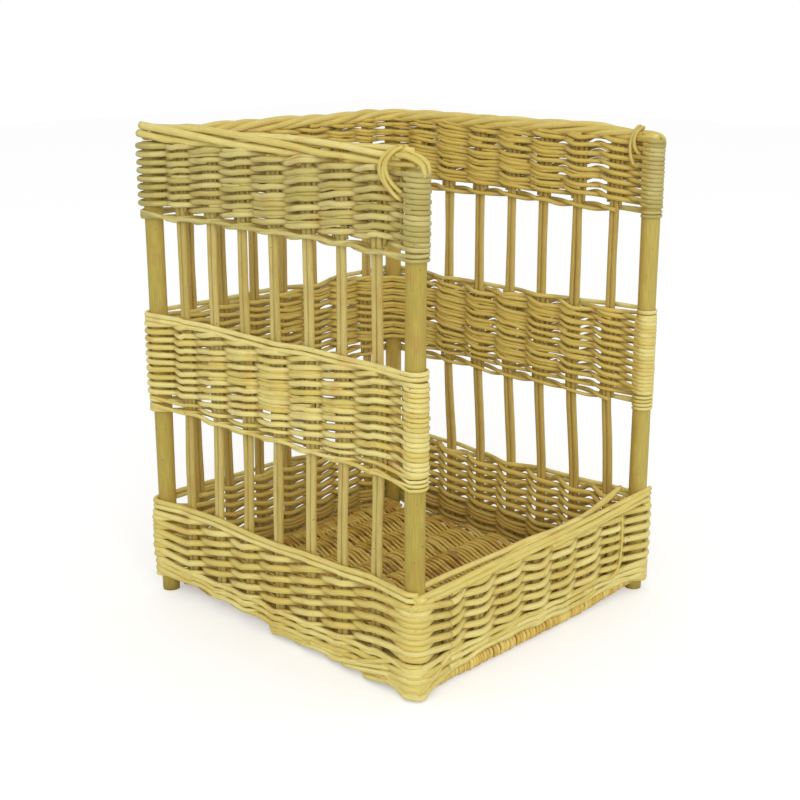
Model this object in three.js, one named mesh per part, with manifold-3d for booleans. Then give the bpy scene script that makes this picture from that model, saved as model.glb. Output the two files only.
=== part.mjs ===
// Square wicker display basket: willow rods woven round four round corner posts.
// The left, back and right walls are three woven bands with open gaps of bare stakes between them.
// The front has only the bottom band, so goods are reached from the front and from above.
// Millimetres, +Z up. The origin is on the ground under the middle, and the open front faces -Y.

import * as THREE from "three";
import { mergeVertices } from "three/addons/utils/BufferGeometryUtils.js";
import Module from "manifold-3d";

const wasm = await Module();
wasm.setup();

// Driving dimensions: the four corner posts
const postSpacingX = 370; // between the post axes, side to side
const postSpacingY = 385; // between the post axes, front to back
const postDiameter = 20;
const footHeight = 4; // bare post under the lowest row

// Driving dimensions: the bands and the open gaps between them, from the bottom up
const bottomBandHeight = 108;
const lowerGapHeight = 104;
const middleBandHeight = 111;
const upperGapHeight = 105;
const topBandHeight = 78;
const frontBandDrop = 8; // the front band ends this far below the others, under its border

// Driving dimensions: the rods of the walls
const stakeRodDiameter = 6.4; // two of these side by side make a stake pair
const stakeRodLap = 0.4; // how far the two rods of a pair are pressed into each other
const stakeInset = 2; // a stake starts this far above the foot of its band
const weaverDiameter = 5; // the rods woven in and out of the stakes
const courseDepth = 1.2; // how far each course of weaving stands out
const strokeRelief = 3.4; // how far a band lies back where a stake shows between its rods
const crossingRelief = 1.6; // how far it lies back where paired rods cross, between two stakes
const fitGap = 0.3; // between any two pieces that touch
const cutOverrun = 2; // how far a cutter runs past what it cuts

// Driving dimensions: the woven base
const baseStickDiameter = 7;
const baseStickSpacing = 46.3; // between the sticks inside the rolled edges
const baseWeaverDiameter = 3.8;
const baseSheetThickness = 9; // between two sticks
const baseRidgeWidth = 24; // the rise of the sheet over a stick
const baseClearance = 2; // under the base, above the ground

// Driving dimensions: the borders along the top edges
const ropeWidth = 18;
const ropeHeight = 15;
const bundleWidth = 15; // the long rods laid along the left edge
const bundleHeight = 20;
const frontRopeWidth = 16;
const frontRopeHeight = 13;
const borderGrooveDepth = 1.8; // between one rod of a border and the next
const bundleOverhang = 12; // how far the left border runs on past the back-left post

// Driving dimensions: the ties that hold the borders' free ends
const tieRodDiameter = 3;
const tieHalfWidth = 10.3; // from the middle of the border to the inside of the tie
const tieDrop = 22; // a tie passes through the weave this far under the border
const tieToPost = 24; // from the post's axis to the middle of the tie

// Counts
const stakesPerWall = 7;
const innerBaseSticks = 7;
const bottomCourses = 7;
const middleCourses = 11;
const topCourses = 7;
const frontCourses = 6;
const ropeRods = 3; // rods twisted into a rope border
const ropeTurns = 2; // in one wall's length
const bundleRods = 5; // long rods laid along the left edge
const bundleTurns = 0.5;
const frontRopeTurns = 1;
const tieLoops = 3;
const postSides = 20;
const rodSides = 8;
const bandEndSides = 6;
const edgeSides = 8;
const ridgeSteps = 4;
const pointsPerRopeRod = 4;
const stepsPerRopeTurn = 12;

// Heights and reaches worked out from them
const bottomBandTop = footHeight + bottomBandHeight;
const middleBandFoot = bottomBandTop + lowerGapHeight;
const middleBandTop = middleBandFoot + middleBandHeight;
const topBandFoot = middleBandTop + upperGapHeight;
const topBandTop = topBandFoot + topBandHeight;
const frontBandTop = bottomBandTop - frontBandDrop;
const borderFoot = topBandTop + fitGap;
const postRadius = postDiameter / 2;
const wrapRadius = postRadius + weaverDiameter;
const bandHalfThickness = stakeRodDiameter / 2 + weaverDiameter;
const baseRollRadius = baseStickDiameter / 2 + baseWeaverDiameter;
const baseMiddle = baseClearance + baseRollRadius;
const rollBandFoot = baseMiddle + baseRollRadius + fitGap; // of the bands over a rolled edge
const halfX = postSpacingX / 2;
const halfY = postSpacingY / 2;

// Finishes
const postFinish = { color: 0xbda656, roughness: 0.55, metalness: 0 };
const stakeFinish = { color: 0xc4b06a, roughness: 0.55, metalness: 0 };
const weaveFinish = { color: 0xccb96b, roughness: 0.6, metalness: 0 };
const borderFinish = { color: 0xd3bf72, roughness: 0.55, metalness: 0 };
const baseFinish = { color: 0xb8984c, roughness: 0.65, metalness: 0 };
const tieFinish = { color: 0xc0a757, roughness: 0.6, metalness: 0 };

// A geometry as a solid that can be joined and cut
function toSolid(geometry) {
  const bare = new THREE.BufferGeometry();
  bare.setAttribute("position", geometry.getAttribute("position"));
  bare.setIndex(geometry.index);
  const merged = mergeVertices(bare);
  return new wasm.Manifold(
    new wasm.Mesh({
      numProp: 3,
      vertProperties: merged.attributes.position.array,
      triVerts: new Uint32Array(merged.index.array),
    }),
  );
}

// A solid as a geometry
function toGeometry(solid) {
  const mesh = solid.getMesh();
  const geometry = new THREE.BufferGeometry();
  geometry.setAttribute("position", new THREE.BufferAttribute(mesh.vertProperties, 3));
  geometry.setIndex(new THREE.BufferAttribute(mesh.triVerts, 1));
  geometry.computeVertexNormals();
  return geometry;
}

// A named piece, hung in its wall or in the basket
function addPiece(parent, name, geometry, finish) {
  const mesh = new THREE.Mesh(geometry, new THREE.MeshStandardMaterial(finish));
  mesh.name = name;
  parent.add(mesh);
}

// An upright round rod from one height to another
function uprightRod(radius, foot, top, sides) {
  return new THREE.CylinderGeometry(radius, radius, top - foot, sides)
    .rotateX(Math.PI / 2)
    .translate(0, 0, (foot + top) / 2);
}

// A prism over an outline seen from above, from one height to another
function uprightPrism(outline, foot, top) {
  return new THREE.ExtrudeGeometry(new THREE.Shape(outline), {
    depth: top - foot,
    bevelEnabled: false,
  }).translate(0, 0, foot);
}

// Turns a geometry whose outline is in XY and whose length is along Z,
// so that the outline's Y is upright and the length runs along X
function layAlongX(geometry) {
  return geometry.rotateX(Math.PI / 2).rotateZ(Math.PI / 2);
}

// The closed skin over a stack of level rings with the same number of points each
function skinOver(rings) {
  const count = rings[0].length;
  const faces = [];
  for (let ring = 0; ring + 1 < rings.length; ring++)
    for (let k = 0; k < count; k++) {
      const low = ring * count + k;
      const lowNext = ring * count + ((k + 1) % count);
      faces.push(low, lowNext, lowNext + count, low, lowNext + count, low + count);
    }
  const lastStart = (rings.length - 1) * count;
  for (const [a, b, c] of THREE.ShapeUtils.triangulateShape(rings[0], []))
    faces.push(a, c, b);
  for (const [a, b, c] of THREE.ShapeUtils.triangulateShape(rings[rings.length - 1], []))
    faces.push(lastStart + a, lastStart + b, lastStart + c);
  const geometry = new THREE.BufferGeometry().setFromPoints(rings.flat());
  geometry.setIndex(faces);
  return geometry;
}

// Where the stakes of a wall stand, along the wall
function stakePlaces(length) {
  const space = length / (stakesPerWall + 1);
  return Array.from({ length: stakesPerWall }, (_, k) => (k + 1) * space);
}

// The outline of a band from above: round about the post at each end, and lying back from its
// full thickness past each stake pair by the given relief. Paired rods also cross between stakes.
// A wall runs along X from its first post to its second, with +Y into the basket.
function bandOutline(length, wrap, paired, relief) {
  const places = stakePlaces(length);
  const arc = (centre, start) =>
    Array.from({ length: bandEndSides + 1 }, (_, k) => {
      const angle = start + (k * Math.PI) / bandEndSides;
      return [centre + wrap * Math.cos(angle), wrap * Math.sin(angle)];
    });
  const face = (side) =>
    places.flatMap((place, index) => {
      const past = [place, side * (bandHalfThickness - relief(index, side))];
      const crossing = [place + places[0] / 2, side * (bandHalfThickness - crossingRelief)];
      return paired && index + 1 < stakesPerWall ? [past, crossing] : [past];
    });
  return [
    ...arc(0, Math.PI / 2),
    ...face(-1),
    ...arc(length, -Math.PI / 2),
    ...face(1).reverse(),
  ];
}

// The outline of a stake pair, two round rods pressed together side by side along the wall
function pairOutline() {
  const radius = stakeRodDiameter / 2;
  const reach = radius - stakeRodLap / 2;
  const meet = Math.acos(reach / radius);
  const sweep = 2 * (Math.PI - meet);
  const arc = (centre, start) =>
    Array.from({ length: rodSides }, (_, k) => {
      const angle = start + (k * sweep) / rodSides;
      return new THREE.Vector2(
        centre + radius * Math.cos(angle),
        radius * Math.sin(angle),
      );
    });
  return [...arc(reach, meet - Math.PI), ...arc(-reach, meet)];
}

// The outline of the channel that a stake pair stands in
function channelOutline() {
  const reach = stakeRodDiameter - stakeRodLap / 2 + fitGap;
  const half = stakeRodDiameter / 2 + fitGap;
  return [
    [reach, -half],
    [reach, half],
    [-reach, half],
    [-reach, -half],
  ].map(([x, y]) => new THREE.Vector2(x, y));
}

// Cuts a wall's solid off along the mitre through one of its posts
function cutMitre(solid, length, foot, top, atFirstPost) {
  const reach = 2 * wrapRadius + cutOverrun;
  const cutFoot = foot - cutOverrun;
  const cutTop = top + cutOverrun;
  const cutter = new THREE.BoxGeometry(reach, 2 * reach, cutTop - cutFoot)
    .translate((reach - fitGap) / 2, 0, (cutFoot + cutTop) / 2)
    .rotateZ(atFirstPost ? (3 * Math.PI) / 4 : Math.PI / 4)
    .translate(atFirstPost ? 0 : length, 0, 0);
  return solid.subtract(toSolid(cutter));
}

// A woven band of one wall, with sockets for the posts and a channel for each stake pair. Paired
// rods stand out past every stake, one course above the other. Single rods, two to a course, stand
// out past every second stake on the outside and past the others on the inside.
function wovenBand({ length, foot, top, courses, paired, mitreFirst, mitreSecond }) {
  const rings = [];
  for (let k = 0; k <= 2 * courses; k++) {
    const height = foot + ((top - foot) * k) / (2 * courses);
    const wrap = wrapRadius - (k % 2 ? 0 : courseDepth);
    const atEdge = k === 0 || k === 2 * courses;
    const relief = (index, side) => {
      if (atEdge) return courseDepth;
      const shift = paired ? 1 : index + (side > 0 ? 1 : 0);
      return (k + shift) % 2 ? strokeRelief : 0;
    };
    const outline = bandOutline(length, wrap, paired, relief);
    rings.push(outline.map(([x, y]) => new THREE.Vector3(x, y, height)));
  }
  let band = toSolid(skinOver(rings));
  const cutFoot = foot - cutOverrun;
  const cutTop = top + cutOverrun;
  for (const x of [0, length]) {
    const socket = uprightRod(postRadius + fitGap, cutFoot, cutTop, postSides);
    band = band.subtract(toSolid(socket.translate(x, 0, 0)));
  }
  for (const x of stakePlaces(length)) {
    const channel = uprightPrism(channelOutline(), cutFoot, cutTop);
    band = band.subtract(toSolid(channel.translate(x, 0, 0)));
  }
  if (mitreFirst) band = cutMitre(band, length, foot, top, true);
  if (mitreSecond) band = cutMitre(band, length, foot, top, false);
  return band;
}

// Rods twisted into a border that lies along the wall from one place to another
function borderRope({ start, end, foot, width, height, rods, turns }) {
  const steps = Math.ceil(turns * stepsPerRopeTurn);
  const points = rods * pointsPerRopeRod;
  const rings = [];
  for (let step = 0; step <= steps; step++) {
    const twist = (turns * 2 * Math.PI * step) / steps;
    const ring = [];
    for (let k = 0; k < points; k++) {
      const angle = (2 * Math.PI * k) / points;
      const inset = (borderGrooveDepth * (1 - Math.cos(rods * (angle - twist)))) / 2;
      ring.push(
        new THREE.Vector3(
          (width / 2 - inset) * Math.cos(angle),
          (height / 2 - inset) * Math.sin(angle),
          start + ((end - start) * step) / steps,
        ),
      );
    }
    rings.push(ring);
  }
  return layAlongX(skinOver(rings)).translate(0, 0, foot + height / 2);
}

// A border tie: loops of thin rod side by side, round the border and through the weave under it.
// Made larger all round by a gap, it is also the cutter for its way through the weave.
function borderTie(borderTop, gap) {
  const thickness = tieRodDiameter + 2 * gap;
  const bevel = tieRodDiameter / 4;
  const low = topBandTop - tieDrop;
  const high = borderTop + fitGap;
  const ringOutline = (grow) => {
    const half = tieHalfWidth + grow;
    const corner = tieRodDiameter + grow / 2;
    return [
      [half, low - grow + corner],
      [half, high + grow - corner],
      [half - corner, high + grow],
      [corner - half, high + grow],
      [-half, high + grow - corner],
      [-half, low - grow + corner],
      [corner - half, low - grow],
      [half - corner, low - grow],
    ].map(([x, y]) => new THREE.Vector2(x, y));
  };
  const ring = new THREE.Shape(ringOutline(tieRodDiameter + gap));
  ring.holes.push(new THREE.Path(ringOutline(-gap)));
  let tie = null;
  for (let loop = 0; loop < tieLoops; loop++) {
    const middle = (loop - (tieLoops - 1) / 2) * (tieRodDiameter - bevel / 2);
    const geometry = new THREE.ExtrudeGeometry(ring, {
      depth: thickness - 2 * bevel,
      bevelSegments: 1,
      bevelThickness: bevel,
      bevelSize: bevel,
      bevelOffset: -bevel,
    });
    const solid = toSolid(layAlongX(geometry).translate(middle - thickness / 2 + bevel, 0, 0));
    tie = tie ? tie.add(solid) : solid;
  }
  return tie;
}

// Half the thickness of the base sheet, from the middle of one of its sticks outwards
function baseHalfThickness(fromStick) {
  const sheet = baseSheetThickness / 2;
  const rise = Math.cos((Math.PI * Math.min(2 * fromStick, baseRidgeWidth)) / (2 * baseRidgeWidth));
  return sheet + (baseRollRadius - sheet) * rise ** 2;
}

// The base sheet, woven round its sticks and rolled over the first and the last
function baseSheet(stickPlaces, length) {
  const top = [];
  stickPlaces.forEach((place, index) => {
    for (let k = -ridgeSteps; k <= ridgeSteps; k++) {
      const pastEdge = index === 0 ? k <= 0 : index === stickPlaces.length - 1 && k >= 0;
      const fromStick = (k * baseRidgeWidth) / (2 * ridgeSteps);
      if (!pastEdge) top.push([place + fromStick, baseHalfThickness(Math.abs(fromStick))]);
    }
  });
  const edge = (place, start) =>
    Array.from({ length: edgeSides + 1 }, (_, k) => {
      const angle = start + (k * Math.PI) / edgeSides;
      return [
        place + baseRollRadius * Math.cos(angle),
        baseRollRadius * Math.sin(angle),
      ];
    });
  const outline = [
    ...edge(stickPlaces[0], Math.PI / 2),
    ...top.map(([y, z]) => [y, -z]),
    ...edge(stickPlaces[stickPlaces.length - 1], -Math.PI / 2),
    ...top.reverse(),
  ];
  const shape = new THREE.Shape(outline.map(([y, z]) => new THREE.Vector2(y, z)));
  for (const place of stickPlaces) {
    const hole = new THREE.Path();
    hole.absarc(place, 0, baseStickDiameter / 2 + fitGap, 0, 2 * Math.PI, true);
    shape.holes.push(hole);
  }
  const sheet = new THREE.ExtrudeGeometry(shape, {
    depth: length,
    bevelEnabled: false,
    curveSegments: rodSides,
  });
  return layAlongX(sheet).translate(-length / 2, 0, baseMiddle);
}

// The basket and its four walls. Each wall has a group of its own, which starts at one post
// and runs along X to the next, so that the walls follow each other round the basket.
const basket = new THREE.Group();
basket.name = "square_wicker_display_basket";

function wallGroup(x, y, turn) {
  const group = new THREE.Group();
  group.position.set(x, y, 0);
  group.rotation.z = turn;
  basket.add(group);
  return group;
}

const front = wallGroup(-halfX, -halfY, 0);
const right = wallGroup(halfX, -halfY, Math.PI / 2);
const back = wallGroup(halfX, halfY, Math.PI);
const left = wallGroup(-halfX, halfY, -Math.PI / 2);

// The corner posts, one at the start of each wall
const post = uprightRod(postRadius, 0, topBandTop, postSides);
addPiece(front, "corner_post_front_left", post, postFinish);
addPiece(right, "corner_post_front_right", post, postFinish);
addPiece(back, "corner_post_back_right", post, postFinish);
addPiece(left, "corner_post_back_left", post, postFinish);

// The stake pairs
function addStakes(parent, side, length, foot, top) {
  stakePlaces(length).forEach((place, index) => {
    const pair = uprightPrism(pairOutline(), foot + stakeInset, top).translate(place, 0, 0);
    addPiece(parent, side + "_stake_pair_" + (index + 1), pair, stakeFinish);
  });
}

addStakes(left, "left", postSpacingY, footHeight, topBandTop);
addStakes(back, "back", postSpacingX, rollBandFoot, topBandTop);
addStakes(right, "right", postSpacingY, footHeight, topBandTop);
addStakes(front, "front", postSpacingX, rollBandFoot, frontBandTop);

// The bottom band, mitred at all four posts, stands on the rolled edges at the front and back
function addBand(parent, name, band) {
  addPiece(parent, name, toGeometry(band), weaveFinish);
}

const bottomBand = { foot: footHeight, top: bottomBandTop, courses: bottomCourses, paired: true };
const overRoll = { ...bottomBand, foot: rollBandFoot };
const onSide = { length: postSpacingY };
const onBack = { length: postSpacingX, mitreFirst: true, mitreSecond: true };
const frontBand = { ...overRoll, ...onBack, top: frontBandTop, courses: frontCourses };
const sideBand = { ...bottomBand, ...onSide, mitreFirst: true, mitreSecond: true };
addBand(left, "bottom_weave_left", wovenBand(sideBand));
addBand(back, "bottom_weave_back", wovenBand({ ...overRoll, ...onBack }));
addBand(right, "bottom_weave_right", wovenBand(sideBand));
addBand(front, "bottom_weave_front", wovenBand(frontBand));

// The middle band, which ends round the two front posts
const middleBand = { foot: middleBandFoot, top: middleBandTop, courses: middleCourses };
addBand(left, "middle_weave_left", wovenBand({ ...middleBand, ...onSide, mitreFirst: true }));
addBand(back, "middle_weave_back", wovenBand({ ...middleBand, ...onBack }));
addBand(right, "middle_weave_right", wovenBand({ ...middleBand, ...onSide, mitreSecond: true }));

// The ties at the free ends of the borders, near the two front posts
const leftTiePlace = postSpacingY - tieToPost;
const rightTiePlace = tieToPost;
const leftTie = borderTie(borderFoot + bundleHeight, 0).translate(leftTiePlace, 0, 0);
const rightTie = borderTie(borderFoot + ropeHeight, 0).translate(rightTiePlace, 0, 0);
addPiece(left, "left_border_tie", toGeometry(leftTie), tieFinish);
addPiece(right, "right_border_tie", toGeometry(rightTie), tieFinish);

// The top band, like the middle one, with the ties' ways cut through it
const leftTieWay = borderTie(borderFoot + bundleHeight, fitGap).translate(leftTiePlace, 0, 0);
const rightTieWay = borderTie(borderFoot + ropeHeight, fitGap).translate(rightTiePlace, 0, 0);
const topBand = { foot: topBandFoot, top: topBandTop, courses: topCourses };
const topBandLeft = wovenBand({ ...topBand, ...onSide, mitreFirst: true });
const topBandRight = wovenBand({ ...topBand, ...onSide, mitreSecond: true });
addBand(left, "top_weave_left", topBandLeft.subtract(leftTieWay));
addBand(back, "top_weave_back", wovenBand({ ...topBand, ...onBack }));
addBand(right, "top_weave_right", topBandRight.subtract(rightTieWay));

// The left border: long rods laid along the edge, past the back-left post and over the front one
const leftBorder = borderRope({
  start: -bundleOverhang,
  end: postSpacingY + postRadius,
  foot: borderFoot,
  width: bundleWidth,
  height: bundleHeight,
  rods: bundleRods,
  turns: bundleTurns,
});
addPiece(left, "top_border_left", leftBorder, borderFinish);

// The back and right borders: a rope that turns the back-right corner on a mitre
const backBorder = borderRope({
  start: -ropeWidth,
  end: postSpacingX - bundleWidth / 2 - fitGap,
  foot: borderFoot,
  width: ropeWidth,
  height: ropeHeight,
  rods: ropeRods,
  turns: ropeTurns,
});
const backBorderMitred = cutMitre(
  toSolid(backBorder),
  postSpacingX,
  borderFoot,
  borderFoot + ropeHeight,
  true,
);
addPiece(back, "top_border_back", toGeometry(backBorderMitred), borderFinish);

const rightBorder = borderRope({
  start: -postRadius,
  end: postSpacingY + ropeWidth,
  foot: borderFoot,
  width: ropeWidth,
  height: ropeHeight,
  rods: ropeRods,
  turns: ropeTurns,
});
const rightBorderMitred = cutMitre(
  toSolid(rightBorder),
  postSpacingY,
  borderFoot,
  borderFoot + ropeHeight,
  false,
);
addPiece(right, "top_border_right", toGeometry(rightBorderMitred), borderFinish);

// The front border lies on the front band, between the two front posts
const frontBorder = borderRope({
  start: postRadius + fitGap,
  end: postSpacingX - postRadius - fitGap,
  foot: frontBandTop + fitGap,
  width: frontRopeWidth,
  height: frontRopeHeight,
  rods: ropeRods,
  turns: frontRopeTurns,
});
addPiece(front, "front_border", frontBorder, borderFinish);

// The base: nine sticks from side to side, with the sheet woven round them
const innerPlaces = Array.from(
  { length: innerBaseSticks },
  (_, k) => (k - (innerBaseSticks - 1) / 2) * baseStickSpacing,
);
const basePlaces = [-halfY, ...innerPlaces, halfY];
const sheetReach = halfX - wrapRadius - fitGap;
addPiece(basket, "base_weave", baseSheet(basePlaces, 2 * sheetReach), baseFinish);

basePlaces.forEach((place, index) => {
  const inEdge = Math.abs(place) === halfY;
  const reach = halfX - (inEdge ? postRadius : bandHalfThickness) - fitGap;
  const stick = new THREE.CylinderGeometry(
    baseStickDiameter / 2,
    baseStickDiameter / 2,
    2 * reach,
    rodSides,
  )
    .rotateZ(Math.PI / 2)
    .translate(0, place, baseMiddle);
  addPiece(basket, "base_stick_" + (index + 1), stick, baseFinish);
});

export default basket;
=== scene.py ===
import math

import bpy
import numpy as np
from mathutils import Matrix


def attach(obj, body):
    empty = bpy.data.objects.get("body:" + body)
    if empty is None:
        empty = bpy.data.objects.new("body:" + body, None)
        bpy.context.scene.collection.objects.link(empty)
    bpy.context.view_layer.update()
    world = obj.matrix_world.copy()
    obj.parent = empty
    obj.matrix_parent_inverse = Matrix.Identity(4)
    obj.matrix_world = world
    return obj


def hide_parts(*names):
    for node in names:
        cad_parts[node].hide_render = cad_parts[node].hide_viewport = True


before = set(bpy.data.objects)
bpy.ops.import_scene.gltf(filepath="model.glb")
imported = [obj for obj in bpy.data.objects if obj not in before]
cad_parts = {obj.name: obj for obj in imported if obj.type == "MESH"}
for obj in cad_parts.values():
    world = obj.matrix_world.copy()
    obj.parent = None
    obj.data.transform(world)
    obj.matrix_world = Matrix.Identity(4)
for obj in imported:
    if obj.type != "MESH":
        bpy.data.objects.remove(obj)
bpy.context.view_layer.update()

mm = 0.001


# The camera stands in front of the front-left corner and a little above the basket, as in the
# photograph. Its place, aim and lens come from where the four corner posts stand in the picture.
camera_place = (-1090.0 * mm, -1032.2 * mm, 651.4 * mm)
camera_bearing = 0.8108  # clockwise from +Y, in radians
camera_pitch = -0.2768
camera_lens = 63.0

bpy.ops.object.camera_add(
    location=camera_place,
    rotation=(math.pi / 2 + camera_pitch, 0, -camera_bearing),
)
camera = bpy.context.object
camera.name = "camera"
camera.data.lens = camera_lens
bpy.context.scene.camera = camera
bpy.context.scene.view_settings.view_transform = "Standard"


# The floor is a plain white studio sheet under the basket. It is lit by a bright even room and one
# large soft lamp from the front left, and it shows white to the camera apart from the shadow.
class Shade:
    """A socket of a material's node tree. Sums on it add Math nodes."""

    def __init__(self, tree, socket=None):
        self.tree = tree
        self.socket = socket

    def node(self, kind, settings=None, inputs=None, output=0):
        """A new node: its settings come first, then the values or links of its sockets."""
        new = self.tree.nodes.new("ShaderNode" + kind)
        for name, value in (settings or {}).items():
            setattr(new, name, value)
        for name, value in (inputs or {}).items():
            socket = new.inputs[name]
            if isinstance(value, Shade):
                self.tree.links.new(value.socket, socket)
            else:
                socket.default_value = value
        return Shade(self.tree, new.outputs[output] if len(new.outputs) else None)

    def maths(self, operation, first, second=0.0):
        return self.node("Math", {"operation": operation}, {0: first, 1: second})

    def __add__(self, other):
        return self.maths("ADD", self, other)

    def __mul__(self, other):
        return self.maths("MULTIPLY", self, other)

    def __sub__(self, other):
        return self.maths("SUBTRACT", self, other)

    def __rsub__(self, other):
        return self.maths("SUBTRACT", other, self)

    def above(self, low, high):
        """0 under low and 1 over high, with a smooth rise between them."""
        return self.node(
            "MapRange",
            {"interpolation_type": "SMOOTHSTEP"},
            {"Value": self, "From Min": low, "From Max": high},
        )

    def mixed(self, first, second):
        """A colour between two, by this number."""
        return self.node("Mix", {"data_type": "RGBA"}, {0: self, 6: first, 7: second}, output=2)


def emptied(owner):
    """The node tree of a new material or world, with nothing in it."""
    owner.use_nodes = True
    owner.node_tree.nodes.clear()
    return Shade(owner.node_tree)


def paint(red, green, blue):
    """A colour as it is seen on a screen, 0 to 255, as the linear one that shaders take."""
    shares = []
    for value in (red, green, blue):
        share = value / 255
        shares.append(share / 12.92 if share < 0.04045 else ((share + 0.055) / 1.055) ** 2.4)
    return (*shares, 1)


floor_reach = 6.0
floor_color = paint(226, 226, 226)
floor_lift = 0.37  # how much of the white is added for the camera alone
room_strength = 0.8
lamp_power = 44
lamp_place = (-2.1, -2.5, 1.7)
lamp_size = 2.2
lamp_turn = (math.radians(66), 0, math.radians(-40))

bpy.ops.mesh.primitive_plane_add(size=2 * floor_reach)
floor = bpy.context.object
floor.name = "floor"
floor_material = bpy.data.materials.new("floor_white")
sheet = emptied(floor_material)
camera_ray = sheet.node("LightPath")
matt = sheet.node("BsdfDiffuse", {}, {"Color": floor_color})
glow = sheet.node("Emission", {}, {"Color": (1, 1, 1, 1), "Strength": camera_ray * floor_lift})
lit = sheet.node("AddShader", {}, {0: matt, 1: glow})
sheet.node("OutputMaterial", {}, {"Surface": lit})
floor.data.materials.append(floor_material)

world = bpy.data.worlds.new("bright_room")
room = emptied(world)
room_light = room.node("Background", {}, {"Color": (1, 1, 1, 1), "Strength": room_strength})
room_seen = room.node("Background", {}, {"Color": (1, 1, 1, 1), "Strength": 1.0})
seen = room.node("LightPath")
room_both = room.node("MixShader", {}, {0: seen, 1: room_light, 2: room_seen})
room.node("OutputWorld", {}, {"Surface": room_both})
bpy.context.scene.world = world

bpy.ops.object.light_add(type="AREA", location=lamp_place)
lamp = bpy.context.object
lamp.name = "soft_lamp"
lamp.data.size = lamp_size
lamp.data.energy = lamp_power
lamp.rotation_euler = lamp_turn


# The base is woven first, on nine straight willow sticks that run from side to side. The first and
# the last stick lie inside the rolled edges at the front and the back.
post_spacing_x = 370 * mm
post_spacing_y = 385 * mm
base_stick_radius = 3.5 * mm
base_stick_reach = 168 * mm
base_middle = 9.3 * mm
base_stick_spacing = 46.3 * mm
inner_sticks = 7

# Between which depths the shades of the willow change, from the middle of the nearest wall outwards
outer_face = (-3 * mm, 3 * mm)
floor_edge = (-16 * mm, -8 * mm)
crevice_depths = (1.5 * mm, 5.0 * mm)
post_zone = (-17 * mm, -10 * mm)
low_stain_shade_heights = (22 * mm, 62 * mm)  # above the ground
grain_scales = (45, 900, 0)  # along a rod and round it, to the metre
streak_scales = (14, 60, 0)
blotch_scale = 38
speck_scale = 330
dirt_brown = paint(160, 104, 46)
# Painted shade and brown stain low down inside the basket
low_stain_shade_brown = paint(146, 98, 44)
# Painted shade between the rods, in the middle of a wall's depth
crevice_shade_brown = paint(136, 96, 42)


def willow(
    name, straw, pale, ochre, inside, roughness=0.5, stain=0.35, inside_shade_and_tint=0.8, post_shade=0.0, low_stain_and_shade=0.0,
    dirt=0.0, crevice_shade=0.0,
):
    """Peeled willow: straw yellow, with pale and ochre rods and fine grain. The shares say how much
    it is stained, how much painted shade and browner tint it takes inside the basket, how much painted
    shade round the posts, how much brown stain and painted shade low down inside, how dirty it is on
    the floor, and how much painted shade lies between the rods."""
    material = bpy.data.materials.new(name)
    rod = emptied(material)
    place = rod.node("TexCoord", output=3)
    along = rod.node("UVMap", {"uv_map": "rod"})
    tone = rod.node("Attribute", {"attribute_name": "tone"}, output=2)
    grain_place = rod.node("VectorMath", {"operation": "MULTIPLY"}, {0: along, 1: grain_scales})
    grain = rod.node("TexNoise", {}, {"Vector": grain_place, "Scale": 1.0, "Detail": 3.0})
    length_place = rod.node("VectorMath", {"operation": "MULTIPLY"}, {0: along, 1: streak_scales})
    streak = rod.node("TexNoise", {}, {"Vector": length_place, "Scale": 1.0, "Detail": 2.0})
    blotch = rod.node("TexNoise", {}, {"Vector": place, "Scale": blotch_scale, "Detail": 3.0})
    speck = rod.node("TexNoise", {}, {"Vector": place, "Scale": speck_scale, "Detail": 1.0})
    axes = rod.node("SeparateXYZ", {}, {0: place})
    depths = []
    for axis, half in ((0, post_spacing_x / 2), (1, post_spacing_y / 2)):
        coordinate = Shade(material.node_tree, axes.socket.node.outputs[axis])
        depths.append(coordinate.maths("ABSOLUTE", coordinate) - half)
    depth = depths[0].maths("MAXIMUM", depths[0], depths[1])
    outside = depth.above(*outer_face)
    floor_part = 1 - depth.above(*floor_edge)
    # The middle of a wall's depth, between the rods, where painted shade goes
    between = 1 - depth.maths("ABSOLUTE", depth).above(*crevice_depths)
    # Near the corner posts, where painted shade darkens the rods
    corner = depths[0].maths("MINIMUM", depths[0], depths[1]).above(*post_zone)
    high = Shade(material.node_tree, axes.socket.node.outputs[2]).above(*low_stain_shade_heights)
    bright = tone.above(0.1, 0.95) * 0.75 + streak.above(0.35, 0.7) * 0.25
    body = bright.mixed(straw, pale)
    body = (blotch.above(0.52, 0.72) * stain).mixed(body, ochre)
    # Inside the basket: partly painted shade of the inner faces, partly a browner tint
    body = ((1 - outside) * inside_shade_and_tint).mixed(body, inside)
    body = (blotch.above(0.5, 0.68) * floor_part * dirt).mixed(body, dirt_brown)
    # Low down inside: painted shade and brown stain
    body = ((1 - outside) * (1 - high) * low_stain_and_shade).mixed(body, low_stain_shade_brown)
    # Between the rods, away from the posts: painted shade
    body = (between * (1 - corner) * crevice_shade).mixed(body, crevice_shade_brown)
    grain_value = grain.above(0.3, 0.75) * 0.22 + 0.79
    flecks = 1 - speck.above(0.71, 0.8) * 0.5
    # Round the corner posts the rods are darkened by painted shade
    value = grain_value * flecks * (1 - corner * post_shade)
    whole = rod.node("VectorMath", {"operation": "SCALE"}, {0: body, 3: value})
    bump = rod.node("Bump", {}, {"Strength": 0.25, "Distance": 0.3 * mm, "Height": grain})
    surface = rod.node(
        "BsdfPrincipled",
        {},
        {"Base Color": whole, "Roughness": roughness, "Normal": bump, "Specular IOR Level": 0.35},
    )
    rod.node("OutputMaterial", {}, {"Surface": surface})
    return material


def distances(path):
    """How far along a path each of its points lies."""
    steps = np.linalg.norm(np.diff(path, axis=0), axis=1)
    return np.concatenate([[0], np.cumsum(steps)])


grain_shift = 7.0  # how far along the grain, in metres, a rod of tone 1 starts from one of tone 0


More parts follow.
